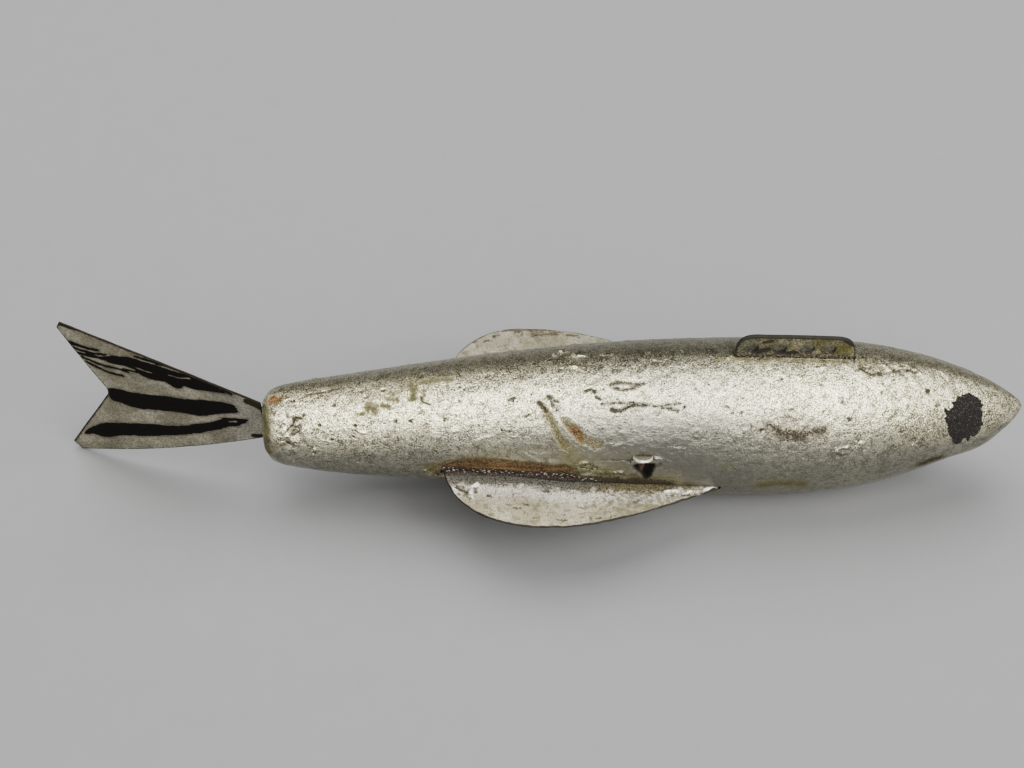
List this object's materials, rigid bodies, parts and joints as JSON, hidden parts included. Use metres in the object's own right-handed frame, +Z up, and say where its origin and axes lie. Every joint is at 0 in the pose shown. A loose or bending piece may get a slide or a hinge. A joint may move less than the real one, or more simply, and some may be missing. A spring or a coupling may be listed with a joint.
{
  "type": "fish decoy",
  "caption": "Whittled wooden fish decoy in worn silver paint, with a forked sheet-metal tail, sheet-metal side fins and a drilled line tie on its back.",
  "frame": {"origin": "on the ground plane, below the middle of the overall length and of the span over the side fins", "axes": "+X to the nose, +Y to the fish's left side, +Z up through the back"},
  "size_m": [0.179, 0.0446, 0.0389],
  "materials": {
    "silver_painted_wood": "old silver paint over whittled wood, chipped and worn to the wood along the right kerf",
    "painted_fin_metal": "cream silver paint on thin sheet, edges worn dark",
    "tail_metal": "grey-olive sheet with brushed black strokes",
    "tie_metal": "dark tarnished sheet with olive stains",
    "nail_metal": "small nail with paint and rust"
  },
  "bodies": {
    "root": {"body": "silver_painted_wood", "tail_fin": "tail_metal", "right_side_fin": "painted_fin_metal", "left_side_fin": "painted_fin_metal", "line_tie": "tie_metal", "fin_nail": "nail_metal"}
  },
  "joints": []
}
